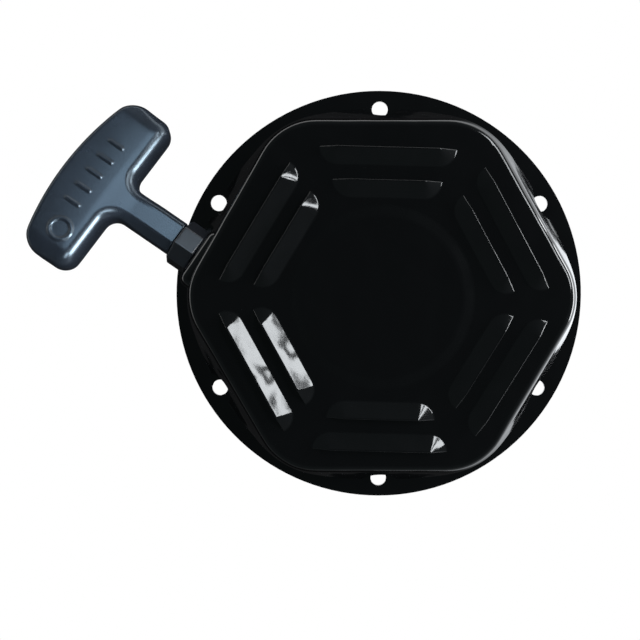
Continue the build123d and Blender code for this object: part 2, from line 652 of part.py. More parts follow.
def rope_handle_knot():
    """The knot in the handle's pocket, as a rounded plug of the knot's size."""
    start = knot_start()
    knot = rod_on_rope_line(KNOT_R, start, start + KNOT_LENGTH)
    return fillet(knot.edges().filter_by(GeomType.CIRCLE), KNOT_R / 2)


def rope_lead():
    """The straight rope between the wound rope and the knot in the handle."""
    return rod_on_rope_line(ROPE_R, ROPE_CUT_GAP, knot_start() - ROPE_CUT_GAP)


def both_sides(shape):
    """A shape and its twin half a turn round the axis, as two separate solids."""
    return Compound([shape, Rot(0, 0, 180) * shape])


save("cover_shell", cover_shell())
save("rope_guide", rope_guide())
save("guide_retainer", guide_retainer())
save("post_base_plate", post_base_plate())
save("centre_post", centre_post())
save("centre_screw", centre_screw())
save("thrust_washer", thrust_washer())
save("recoil_spring", recoil_spring())
save("rope_reel", rope_reel())
save("hub_bush", hub_bush())
save("rope_coil", rope_coil())
save("pawl_pins", both_sides(pawl_pin()))
save("pawl_springs", both_sides(pawl_spring()))
save("pawl_a", pawl())
save("pawl_b", Rot(0, 0, 180) * pawl())
save("ratchet_guide", ratchet_guide())
save("friction_spring", friction_spring())
save("handle_grip", handle_grip())
save("handle_insert", handle_insert())
save("rope_handle_knot", rope_handle_knot())
save("rope_lead", rope_lead())
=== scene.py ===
"""Looks of the recoil starter: paint, metal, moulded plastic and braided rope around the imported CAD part.

Lengths are in metres, in the part's own frame: +Z runs out of the engine along the reel's axis.
"""
import json
import math

import bpy
import numpy as np
from mathutils import Euler, Matrix, Vector


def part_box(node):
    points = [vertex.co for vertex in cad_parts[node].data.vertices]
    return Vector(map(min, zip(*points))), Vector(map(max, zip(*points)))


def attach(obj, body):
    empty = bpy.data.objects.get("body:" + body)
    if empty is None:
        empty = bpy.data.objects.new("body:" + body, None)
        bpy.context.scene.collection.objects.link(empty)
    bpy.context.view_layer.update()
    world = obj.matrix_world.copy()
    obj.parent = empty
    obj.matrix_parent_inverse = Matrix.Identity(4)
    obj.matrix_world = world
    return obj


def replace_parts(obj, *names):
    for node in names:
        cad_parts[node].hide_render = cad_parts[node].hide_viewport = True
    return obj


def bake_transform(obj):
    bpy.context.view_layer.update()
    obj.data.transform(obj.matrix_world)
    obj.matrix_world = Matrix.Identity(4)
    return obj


MM = 0.001

# ---- camera and stage
CAMERA_PLACE = (-0.0196, 0.0089, 0.450)
CAMERA_TURN = (-3.24, -0.30, 0.11)       # degrees about X, Y and Z
CAMERA_LENS = 43.98
CAMERA_SHIFT = (-0.0452, 0.0075)
SENSOR_WIDTH = 36.0
FLOOR_SIZE = 8.0
FLOOR_GAP = 0.5 * MM
WHITE = (1.0, 1.0, 1.0)

# ---- handle, in millimetres: X runs along the rope from the handle's inner end, Y along the bar
HANDLE_ROLL = 12.0         # degrees about the rope
HANDLE_LOW = (-1.5, -50.5, -14.0)        # box searched for the handle's surface
HANDLE_HIGH = (72.5, 50.5, 14.0)
GRID_STEP = 0.5
STEM_HALF_WIDTH = 9.3
STEM_HALF_HEIGHT = 9.5
STEM_REACH = 50.0          # how far the stem runs into the bar
STEM_CHAMFER = 3.6
STEM_CHAMFER_LEAN = 1.2    # the chamfer is this much wider on the +Y side and narrower on the other
STEM_SOFT_EDGE = 0.8
INNER_END_EDGE = 1.0
BAR_INNER = 36.3
BAR_OUTER_MID = 70.2
BAR_OUTER_END = 62.4
BAR_HALF_LENGTH = 48.5
BAR_HALF_HEIGHT = 11.3
BAR_CORNER = 8.0
BAR_INNER_EDGE = 6.0       # rounding of the bar's edges, on the rope's side and on the far side
BAR_OUTER_EDGE = 2.8
BAR_CROWN = 0.45           # how much the bar's top falls over CROWN_SPAN from its middle line
CROWN_MIDDLE = 48.0
CROWN_SPAN = 17.0
BAR_END_FACET = 39.5       # the ends of the bar slope down from here
END_SLOPE = 0.17
END_SOFTNESS = 1.5
JOINT_FILLET = 7.0
HEIGHT_BLEND = (27.0, 45.0)              # where the stem's height turns into the bar's
ROUNDING_BLEND = (14.0, 34.0)            # where chamfers turn into rounded edges
EDGE_BLEND = (44.0, 60.0)                # where the inner rounding turns into the outer one
RIB_PLACES = (-21.8, -12.4, -3.0, 6.4, 15.8)
RIB_MIDDLE = 54.0
RIB_HALF_LENGTH = 4.5
RIB_HALF_WIDTH = 0.9
RIB_HEIGHT = 0.7
RIB_FLANK = 0.9            # width over which a rib or the ring rises
RIB_ROUNDING = 0.8
RING_PLACE = (50.5, 31.0)
MARKS_ABOVE = 6.0          # the ribs and the ring are only on the bar's top
RING_R = 5.6               # of the ring's middle line
BORE_R = 3.4
POCKET_R = 8.0
POCKET_DEPTH = 15.0
POCKET_ROUNDING = 0.5

# ---- rope, in millimetres
STRANDS = 8                # strands wound each way
LAY = 2.3                  # length of one crossing along the rope
RELIEF = 0.28
ROPE_SIDES = 64
STRETCH_START = 95.0       # the part of the rope that stretches, along the rope from its first end
STRETCH_END = 160.0
COIL_PITCH = 5.1
COIL_HALF_TURNS = 6
TAIL_BEND_R = 8.0
TAIL_BEND = 80.0           # degrees
RING_SPACING = 0.45        # between the rings of points along the stretching rope
COIL_SPACING = 1.0
COIL_SIDES = 40
ANCHOR_KNOT_WIDTH = 2.1    # half sizes of the knots' centre lines, and the radius of their rope
ANCHOR_KNOT_THICKNESS = 1.1
ANCHOR_KNOT_ROPE_R = 1.6
ANCHOR_KNOT_SIDES = 32
HANDLE_KNOT_WIDTH = 3.7
HANDLE_KNOT_THICKNESS = 2.2
HANDLE_KNOT_ROPE_R = 2.2
HANDLE_KNOT_SIDES = 40

# ---- finishes of the CAD nodes that stay, and the nodes that are seen only from below
CAD_SLOTS = {
    "cover_shell": "gloss_black_paint", "post_base_plate": "plain_steel", "centre_post": "turned_steel",
    "rope_guide": "black_moulding", "guide_retainer": "spring_steel", "centre_screw": "zinc_steel",
    "thrust_washer": "zinc_steel", "recoil_spring": "spring_steel", "rope_reel": "reel_plastic",
    "hub_bush": "bronze", "pawl_pins": "turned_steel", "pawl_springs": "spring_steel",
    "ratchet_guide": "zinc_steel", "friction_spring": "spring_steel", "pawl_a": "hardened_steel",
    "pawl_b": "hardened_steel", "handle_insert": "zinc_steel",
}
INNER_NODES = ("post_base_plate", "centre_post", "centre_screw", "thrust_washer", "recoil_spring",
               "rope_reel", "hub_bush", "pawl_pins", "pawl_springs", "ratchet_guide", "friction_spring",
               "pawl_a", "pawl_b", "guide_retainer")


# ---- meshes ----------------------------------------------------------------------------------------------
def mesh_object(name, vertices, faces):
    """A smooth-shaded mesh object from arrays, in metres."""
    mesh = bpy.data.meshes.new(name)
    mesh.from_pydata([tuple(v) for v in vertices], [], [tuple(int(i) for i in f) for f in faces])
    mesh.polygons.foreach_set("use_smooth", [True] * len(mesh.polygons))
    mesh.update()
    obj = bpy.data.objects.new(name, mesh)
    bpy.context.scene.collection.objects.link(obj)
    return obj


def gradient(field, points, reach):
    """Direction in which a field rises fastest, by central differences."""
    columns = []
    for axis in range(3):
        step = np.zeros(3)
        step[axis] = reach
        columns.append((field(points + step) - field(points - step)) / (2 * reach))
    return np.stack(columns, 1)


def pull_to_surface(field, points, reach, limit):
    """Moves points onto the surface where the field is zero."""
    slope = gradient(field, points, reach)
    size = np.maximum((slope ** 2).sum(1), 0.05)
    step = np.clip(field(points) / size, -limit, limit)
    return points - step[:, None] * slope


def relax(points, quads):
    """Moves every point to the middle of its neighbours."""
    total = np.zeros_like(points)
    count = np.zeros(len(points))
    for i in range(4):
        here, there = quads[:, i], quads[:, (i + 1) % 4]
        for a, b in ((here, there), (there, here)):
            np.add.at(total, a, points[b])
            np.add.at(count, a, 1)
    return total / np.maximum(count, 1)[:, None]


def surface_net(field, low, high, step):
    """A quad mesh of the surface where the field is zero: one point in every grid cell that it crosses."""
    counts = [int(math.ceil((b - a) / step)) + 1 for a, b in zip(low, high)]
    axes = [a + step * np.arange(n) for a, n in zip(low, counts)]
    grid = np.stack(np.meshgrid(*axes, indexing="ij"), -1).reshape(-1, 3)
    inside = (field(grid) < 0).reshape(counts)
    total = np.zeros([n - 1 for n in counts], int)
    for corner in np.ndindex(2, 2, 2):
        window = tuple(slice(c, n - 1 + c) for c, n in zip(corner, counts))
        total += inside[window]
    cells = np.argwhere((total > 0) & (total < 8))
    index = np.full(total.shape, -1)
    index[tuple(cells.T)] = np.arange(len(cells))
    points = np.array(low) + step * (cells + 0.5)
    quads = []
    for axis in range(3):
        first, second = (axis + 1) % 3, (axis + 2) % 3
        lower = np.take(inside, range(counts[axis] - 1), axis)
        upper = np.take(inside, range(1, counts[axis]), axis)
        for leaving in (True, False):
            crossing = lower & ~upper if leaving else ~lower & upper
            edges = np.argwhere(crossing)
            around = []
            for shift_1, shift_2 in ((-1, -1), (0, -1), (0, 0), (-1, 0)):
                cell = edges.copy()
                cell[:, first] += shift_1
                cell[:, second] += shift_2
                around.append(index[tuple(cell.T)])
            ring = np.stack(around, 1)
            quads.append(ring if leaving else ring[:, ::-1])
    quads = np.concatenate(quads)
    reach = step / 4
    for _ in range(3):
        points = pull_to_surface(field, points, reach, step)
    for _ in range(2):
        points = 0.5 * points + 0.5 * relax(points, quads)
        points = pull_to_surface(field, points, reach, step)
        points = pull_to_surface(field, points, reach, step)
    return points, quads


def net_object(name, field, low, high, step, place):
    """An object from a field given in millimetres in a frame of its own, put in place by a matrix."""
    points, quads = surface_net(field, low, high, step)
    slope = gradient(field, points, step / 3)
    slope /= np.maximum(np.linalg.norm(slope, axis=1), 1e-9)[:, None]
    turn = np.array(place.to_3x3())
    world = points * MM @ turn.T + np.array(place.translation)
    obj = mesh_object(name, world, quads)
    obj.data.normals_split_custom_set_from_vertices([tuple(n) for n in slope @ turn.T])
    return obj


# ---- fields ----------------------------------------------------------------------------------------------
def rounded_meet(a, b, radius):
    """The space inside both fields, its edge rounded."""
    u, v = a + radius, b + radius
    return np.minimum(np.maximum(u, v), 0) + np.hypot(np.maximum(u, 0), np.maximum(v, 0)) - radius


def filleted_join(a, b, radius):
    """The space inside either field, its corner filled with a fillet."""
    u, v = radius - a, radius - b
    return np.maximum(radius, np.minimum(a, b)) - np.hypot(np.maximum(u, 0), np.maximum(v, 0))


def smooth_share(value, low, high):
    """0 below low, 1 above high, and a smooth rise between them."""
    t = np.clip((value - low) / (high - low), 0, 1)
    return t * t * (3 - 2 * t)


def marks_field(x, y):
    """The plan of the ribs and the ring on the bar's top."""
    across = np.abs(x - RIB_MIDDLE) - RIB_HALF_LENGTH
    ribs = [rounded_meet(np.abs(y - place) - RIB_HALF_WIDTH, across, RIB_ROUNDING) for place in RIB_PLACES]
    ring = np.abs(np.hypot(x - RING_PLACE[0], y - RING_PLACE[1]) - RING_R) - RIB_HALF_WIDTH
    return np.minimum.reduce([*ribs, ring])


def handle_field(p):
    """The T-handle: a bowed bar with rounded edges that runs smoothly into its chamfered stem."""
    x, y, z = p.T
    sagitta = BAR_OUTER_MID - BAR_OUTER_END
    bow_r = (BAR_HALF_LENGTH ** 2 + sagitta ** 2) / (2 * sagitta)
    outer = np.hypot(x - (BAR_OUTER_MID - bow_r), y) - bow_r
    bar = rounded_meet(np.maximum(BAR_INNER - x, outer), np.abs(y) - BAR_HALF_LENGTH, BAR_CORNER)
    stem = np.maximum(np.abs(y) - STEM_HALF_WIDTH, x - STEM_REACH)
    outline = filleted_join(bar, stem, JOINT_FILLET)
    past_end = np.abs(y) - BAR_END_FACET
    crown = BAR_CROWN * ((x - CROWN_MIDDLE) / CROWN_SPAN) ** 2
    crown = crown + END_SLOPE * (past_end + np.hypot(past_end, END_SOFTNESS))
    in_bar = smooth_share(x, *HEIGHT_BLEND)
    height = STEM_HALF_HEIGHT + (BAR_HALF_HEIGHT - crown - STEM_HALF_HEIGHT) * in_bar
    above = np.abs(z) - height
    edge = BAR_INNER_EDGE + (BAR_OUTER_EDGE - BAR_INNER_EDGE) * smooth_share(x, *EDGE_BLEND)
    soft = rounded_meet(outline, above, edge)
    chamfer_width = STEM_CHAMFER + STEM_CHAMFER_LEAN * np.sign(y)
    chamfer = (outline + above + chamfer_width) / math.sqrt(2)
    crisp = rounded_meet(np.maximum(outline, above), chamfer, STEM_SOFT_EDGE)
    in_soft = smooth_share(x, *ROUNDING_BLEND)
    body = crisp + (soft - crisp) * in_soft
    body = rounded_meet(body, -x, INNER_END_EDGE)
    body = body - RIB_HEIGHT * np.clip(0.5 - marks_field(x, y) / RIB_FLANK, 0, 1) * (z > MARKS_ABOVE)
    radial = np.hypot(y, z)
    pocket = rounded_meet(radial - POCKET_R, BAR_OUTER_MID - POCKET_DEPTH - x, POCKET_ROUNDING)
    return np.maximum(body, -np.minimum(radial - BORE_R, pocket))


# ---- rope ------------------------------------------------------------------------------------------------
def braid(angle, along):
    """The relief's height from 0 to 1 and the share of dark tracer, at an angle and a length in mm."""
    turns = angle / (2 * math.pi) * STRANDS
    right, left = turns + along / LAY, turns - along / LAY
    right_no, left_no = np.floor(right), np.floor(left)
    right_share, left_share = right - right_no, left - left_no
    over = (right_no + left_no) % 2 == 0
    across = np.where(over, right_share, left_share)
    along_strand = np.where(over, left_share, right_share)
    height = np.sin(math.pi * across) ** 0.6 * (0.35 + 0.65 * np.sin(math.pi * along_strand) ** 0.7)
    strand = np.where(over, right_no, left_no) % STRANDS
    tracer = (strand == 0) & (height > 0.2)
    return height, tracer.astype(float)


def rope_object(name, centres, tangents, lengths, radius, sides, braid_lengths=None):
    """A braided rope along a line of points in millimetres, with its cut ends closed."""
    if braid_lengths is None:
        braid_lengths = lengths
    normal = np.array(Vector(tangents[0]).orthogonal().normalized())
    rings, tracers = [], []
    angle = np.arange(sides) * 2 * math.pi / sides
    for centre, tangent, length in zip(centres, tangents, braid_lengths):
        normal = normal - tangent * (normal @ tangent)
        normal /= np.linalg.norm(normal)
        side = np.cross(tangent, normal)
        height, tracer = braid(angle, np.full(sides, length))
        reach = radius - RELIEF * (1 - height)
        outward = np.cos(angle)[:, None] * normal + np.sin(angle)[:, None] * side
        rings.append(centre + reach[:, None] * outward)
        tracers.append(tracer)
    count = len(rings)
    points = np.concatenate(rings)
    start = np.arange(sides)
    quads = []
    for i in range(count - 1):
        a = start + i * sides
        b = np.roll(start, -1) + i * sides
        quads.append(np.stack([a, b, b + sides, a + sides], 1))
    faces = [list(q) for q in np.concatenate(quads)]
    faces.append(list(range(sides))[::-1])
    faces.append([i + (count - 1) * sides for i in range(sides)])
    obj = mesh_object(name, points * MM, faces)
    attribute = obj.data.attributes.new("tracer", "FLOAT", "POINT")
    attribute.data.foreach_set("value", np.concatenate(tracers).astype(np.float32))
    return obj


def straight_rope_ends(direction):
    """Where the straight rope starts and ends, from its box, in millimetres."""
    low, high = (np.array(corner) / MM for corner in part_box("rope_lead"))
    radius = (high[2] - low[2]) / 2
    across = abs(direction[0])
    length = ((high[0] - low[0]) - 2 * radius * abs(direction[1])) / across
    middle = (low + high) / 2
    return middle - direction * length / 2, middle + direction * length / 2, radius


def make_rope_lead(start, end, radius, direction, travel):
    """The straight rope, with its braid laid out for the pulled rope: what stretches is hidden at rest."""
    length = np.linalg.norm(end - start)
    fine = np.linspace(0, length, 4001)
    stretched = fine + travel * smooth_share(fine, STRETCH_START, STRETCH_END)
    rings = np.arange(0, stretched[-1], RING_SPACING)
    at_rest = np.interp(rings, stretched, fine)
    centres = start + at_rest[:, None] * direction
    tangents = np.repeat(direction[None], len(centres), 0)
    rope = rope_object("braided_rope_lead", centres, tangents, at_rest, radius, ROPE_SIDES, rings)
    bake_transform(rope)
    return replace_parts(rope, "rope_lead")


def coil_line(offset, step):
    """Centre points of the wound rope in its own plane: shrinking half circles and the bent tail."""
    points = []
    for i in range(COIL_HALF_TURNS):
        sign = 1 if i % 2 == 0 else -1
        radius = offset - COIL_PITCH / 4 - i * COIL_PITCH / 2
        turn = np.arange(0, math.pi, step / radius) + (0 if sign > 0 else math.pi)
        points.append(np.stack([sign * COIL_PITCH / 4 + radius * np.cos(turn), radius * np.sin(turn)], 1))
    last = offset - COIL_HALF_TURNS * COIL_PITCH / 2
    turn = np.arange(0, math.radians(TAIL_BEND), step / TAIL_BEND_R)
    tail = np.stack([last - TAIL_BEND_R + TAIL_BEND_R * np.cos(turn), TAIL_BEND_R * np.sin(turn)], 1)
    points.append(tail)
    return np.concatenate(points)


def along_line(points):
    """Tangents and lengths along a line of points."""
    steps = np.diff(points, axis=0)
    lengths = np.concatenate([[0], np.cumsum(np.linalg.norm(steps, axis=1))])
    tangents = np.gradient(points, axis=0)
    return tangents / np.linalg.norm(tangents, axis=1)[:, None], lengths


def make_rope_coil(foot, radius):
    """The wound rope on the reel, with its anchor knot."""
    flat = coil_line(np.hypot(foot[0], foot[1]), COIL_SPACING)
    turn = math.atan2(foot[1], foot[0])
    c, s = math.cos(turn), math.sin(turn)
    points = np.stack([c * flat[:, 0] - s * flat[:, 1], s * flat[:, 0] + c * flat[:, 1],
                       np.full(len(flat), foot[2])], 1)
    tangents, lengths = along_line(points)
    rope = rope_object("braided_rope_coil", points, tangents, lengths, radius, COIL_SIDES)
    upward = np.array([0.0, 0.0, 1.0])
    knot_points = knot_line(points[-1], upward, ANCHOR_KNOT_WIDTH, ANCHOR_KNOT_THICKNESS)
    tangents, lengths = along_line(knot_points)
    knot = rope_object("anchor_knot", knot_points, tangents, lengths, ANCHOR_KNOT_ROPE_R, ANCHOR_KNOT_SIDES)
    knot.parent = rope
    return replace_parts(rope, "rope_coil"), knot


def knot_line(centre, axis, width, thickness):
    """Centre line of an overhand knot seen along its axis, width and thickness being half sizes in mm."""
    t = np.linspace(0, 2 * math.pi, 241)
    side = np.array(Vector(axis).orthogonal().normalized())
    other = np.cross(axis, side)
    reach = (2 + np.cos(3 * t)) / 3 * width
    flat = reach[:, None] * (np.cos(2 * t)[:, None] * side + np.sin(2 * t)[:, None] * other)
    return centre + flat + (np.sin(3 * t) * thickness)[:, None] * axis


# ---- materials -------------------------------------------------------------------------------------------
def add_node(tree, kind, inputs=None, **settings):
    """Adds a node to a tree; its inputs are given by name or number, as values or as links."""
    made = tree.nodes.new(kind)
    for key, value in settings.items():
        setattr(made, key, value)
    for key, value in (inputs or {}).items():
        if isinstance(value, bpy.types.NodeSocket):
            tree.links.new(value, made.inputs[key])
        else:
            made.inputs[key].default_value = value
    return made


class Shader:
    """A node material with short ways to add textures to its Principled surface."""

    def __init__(self, name, **inputs):
        self.material = bpy.data.materials.new(name)
        self.material.use_nodes = True
        self.tree = self.material.node_tree
        self.surface = self.tree.nodes["Principled BSDF"]
        self.coordinates = self.node("ShaderNodeTexCoord").outputs["Object"]
        for key, value in inputs.items():
            self.set(key.replace("_", " "), value)

    def set(self, socket, value):
        """Gives the surface's input a value or a link."""
        target = self.surface.inputs[socket]
        if isinstance(value, bpy.types.NodeSocket):
            self.tree.links.new(value, target)
        else:
            target.default_value = value

    def node(self, kind, inputs=None, **settings):
        """Adds a node to the material."""
        return add_node(self.tree, kind, inputs, **settings)

    def noise(self, scale, detail=3.0, roughness=0.5, vector=None):
        """Noise of about one feature per 1/scale metres."""
        return self.node("ShaderNodeTexNoise", {
            "Vector": vector or self.coordinates, "Scale": scale, "Detail": detail,
            "Roughness": roughness}).outputs["Fac"]

    def stretched(self, scales):
        """Coordinates scaled differently along each axis, for brushed grain."""
        return self.node("ShaderNodeMapping", {"Vector": self.coordinates, "Scale": scales}).outputs["Vector"]

    def turned(self):
        """Coordinates that repeat round the reel's axis, for lathe marks: radius and height only."""
        parts = self.node("ShaderNodeSeparateXYZ", {"Vector": self.coordinates}).outputs
        flat = self.node("ShaderNodeCombineXYZ", {"X": parts["X"], "Y": parts["Y"]}).outputs["Vector"]
        radius = self.node("ShaderNodeVectorMath", {0: flat}, operation="LENGTH").outputs["Value"]
        return self.node("ShaderNodeCombineXYZ", {"X": radius, "Z": parts["Z"]}).outputs["Vector"]

    def band(self, value, low, high, from_low=0.0, from_high=1.0, **settings):
        """A value mapped from one range to another and kept within it."""
        return self.node("ShaderNodeMapRange", {
            "Value": value, "From Min": from_low, "From Max": from_high, "To Min": low, "To Max": high},
            **settings).outputs["Result"]

    def mix(self, share, first, second):
        """Two colours mixed by a share."""
        made = self.node("ShaderNodeMix", data_type="RGBA")
        for number, value in ((0, share), (6, first), (7, second)):
            if isinstance(value, bpy.types.NodeSocket):
                self.tree.links.new(value, made.inputs[number])
            else:
                made.inputs[number].default_value = value if number == 0 else (*value, 1.0)
        return made.outputs[2]

    def bump(self, height, distance, strength=1.0, under=None):
        """Raises the surface by a height texture, over another bump if one is given."""
        made = self.node("ShaderNodeBump", {"Height": height, "Distance": distance, "Strength": strength})
        if under is not None:
            self.tree.links.new(under, made.inputs["Normal"])
        return made.outputs["Normal"]


def gloss_black_paint():
    """Stoved black enamel on wavy pressed sheet: slight orange peel, dust specks and hairline scratches."""
    s = Shader("gloss_black_paint", Metallic=0.0, IOR=1.52)
    dust = s.band(s.noise(2600, 2.0), 0.0, 1.0, 0.735, 0.78)
    drift = s.noise(24, 2.0)
    drifted = s.band(drift, 0.0, 0.6, 0.45, 0.75)
    dusty = s.node("ShaderNodeMath", {0: dust, 1: drifted}, operation="MULTIPLY").outputs[0]
    s.set("Base Color", s.mix(dusty, (0.0022, 0.0022, 0.0026), (0.05, 0.05, 0.052)))
    s.set("Roughness", s.band(s.noise(60, 4.0), 0.055, 0.12))
    scratch = s.noise(900, 2.0, 0.5, s.stretched((0.06, 1.0, 0.4)))
    waves = s.bump(s.noise(48, 1.0), 1.2 * MM, 0.75)
    peel = s.bump(s.noise(700, 2.0), 0.02 * MM, 0.35, waves)
    s.set("Normal", s.bump(s.band(scratch, 0.0, 1.0, 0.72, 0.8), 0.004 * MM, 0.3, peel))
    return s.material


def metal(name, colour, roughness, grain_scale, grain, tint=None, lathe=False, oil=0.0):
    """Bare metal with a grain, uneven polish and faint staining."""
    s = Shader(name, Metallic=1.0)
    vector = s.turned() if lathe else s.stretched(grain)
    fine = s.noise(grain_scale, 3.0, 0.6, vector)
    stain = s.noise(55, 4.0, 0.6)
    dark = tuple(0.72 * c for c in colour)
    base = s.mix(s.band(stain, 0.0, 1.0, 0.35, 0.7), colour, tint or dark)
    s.set("Base Color", s.mix(s.band(fine, 0.0, 0.35, 0.35, 0.75), base, dark))
    s.set("Roughness", s.band(s.noise(90, 3.0), roughness * 0.8, roughness * 1.25))
    s.set("Normal", s.bump(fine, 0.015 * MM, 0.5))
    if oil:
        s.set("Coat Weight", oil)
        s.set("Coat Roughness", 0.12)
    return s.material


def plastic(name, colour, paler, roughness, grain_scale, depth, tint=(1.0, 1.0, 1.0)):
    """Moulded plastic with a fine spark-eroded grain and slightly uneven sheen."""
    s = Shader(name, IOR=1.49, Specular_Tint=(*tint, 1.0))
    cloud = s.noise(35, 3.0)
    s.set("Base Color", s.mix(s.band(cloud, 0.0, 1.0, 0.3, 0.7), colour, paler))
    s.set("Roughness", s.band(s.noise(70, 3.0), roughness * 0.9, roughness * 1.12))
    fine = s.noise(grain_scale, 4.0, 0.6)
    s.set("Normal", s.bump(fine, depth * MM, 0.5))
    return s.material


def braided_rope():
    """Polyester braid: off-white with a dark tracer, fine filaments along each strand."""
    s = Shader("braided_rope")
    tracer = s.node("ShaderNodeAttribute", attribute_name="tracer").outputs["Fac"]
    cloud = s.band(s.noise(160, 3.0), 0.0, 1.0, 0.35, 0.7)
    pale = s.mix(cloud, (0.74, 0.72, 0.66), (0.62, 0.60, 0.55))
    s.set("Base Color", s.mix(tracer, pale, (0.03, 0.035, 0.05)))
    s.set("Roughness", 0.72)
    s.set("Sheen Weight", 0.25)
    s.set("Normal", s.bump(s.noise(5200, 2.0, 0.6), 0.08 * MM, 0.6))
    return s.material


def make_materials():
    """One material per slot of the record."""
    even, across_x, across_z = (1.0, 1.0, 1.0), (0.3, 1.0, 1.0), (1.0, 1.0, 0.2)
    zinc_tint, bronze_tint, moulding_tint = (0.55, 0.6, 0.66), (0.42, 0.29, 0.16), (0.72, 0.88, 1.0)
    steel, turned, zinc = (0.36, 0.36, 0.37), (0.55, 0.55, 0.56), (0.66, 0.66, 0.64)
    blued, hardened, bronze = (0.2, 0.21, 0.24), (0.13, 0.13, 0.14), (0.5, 0.33, 0.17)
    return {
        "gloss_black_paint": gloss_black_paint(),
        "plain_steel": metal("plain_steel", steel, 0.42, 900, across_x),
        "turned_steel": metal("turned_steel", turned, 0.26, 2600, None, lathe=True, oil=0.2),
        "zinc_steel": metal("zinc_steel", zinc, 0.3, 1400, (0.15, 1.0, 1.0), zinc_tint),
        "spring_steel": metal("spring_steel", blued, 0.3, 1800, across_z, oil=0.5),
        "hardened_steel": metal("hardened_steel", hardened, 0.38, 1200, even, oil=0.4),
        "bronze": metal("bronze", bronze, 0.45, 3200, even, bronze_tint),
        "black_moulding": plastic("black_moulding", (0.008, 0.009, 0.011), (0.012, 0.013, 0.016), 0.3,
                                  2400, 0.03),
        "reel_plastic": plastic("reel_plastic", (0.022, 0.022, 0.023), (0.03, 0.03, 0.031), 0.42, 1800, 0.05),
        "handle_plastic": plastic("handle_plastic", (0.005, 0.006, 0.008), (0.008, 0.010, 0.014), 0.26,
                                  2200, 0.03, moulding_tint),
        "braided_rope": braided_rope(),
    }


def paint(obj, material):
    """Gives an object one material."""
    obj.data.materials.clear()
    obj.data.materials.append(material)


# ---- stage -----------------------------------------------------------------------------------------------
def make_floor():
    """A pale floor: white to the camera, brighter towards +X in reflections, and clear from below."""
    half = FLOOR_SIZE / 2
    corners = [(x * half, y * half, -FLOOR_GAP) for x, y in ((-1, -1), (1, -1), (1, 1), (-1, 1))]
    floor = mesh_object("floor", corners, [(0, 1, 2, 3)])
    s = Shader("pale_floor", Roughness=0.9)
    s.set("Base Color", (0.5, 0.5, 0.5, 1.0))
    glow = s.node("ShaderNodeEmission", {"Color": (1.0, 1.0, 1.0, 1.0), "Strength": 1.0}).outputs[0]
    parts = s.node("ShaderNodeSeparateXYZ", {"Vector": s.coordinates}).outputs
    level = s.band(parts["X"], 0.02, 2.6, 0.05, 0.15, interpolation_type="SMOOTHSTEP")
    dim = s.node("ShaderNodeEmission", {"Color": (0.92, 0.96, 1.0, 1.0), "Strength": level}).outputs[0]
    path = s.node("ShaderNodeLightPath").outputs
    mirrored = {0: path["Is Glossy Ray"], 1: s.surface.outputs[0], 2: dim}
    inner = s.node("ShaderNodeMixShader", mirrored).outputs[0]
    outer = s.node("ShaderNodeMixShader", {0: path["Is Camera Ray"], 1: inner, 2: glow}).outputs[0]
    below = s.node("ShaderNodeNewGeometry").outputs["Backfacing"]
    clear = s.node("ShaderNodeBsdfTransparent").outputs[0]
    seen = s.node("ShaderNodeMixShader", {0: below, 1: outer, 2: clear}).outputs[0]
    s.tree.links.new(seen, s.tree.nodes["Material Output"].inputs["Surface"])
    paint(floor, s.material)


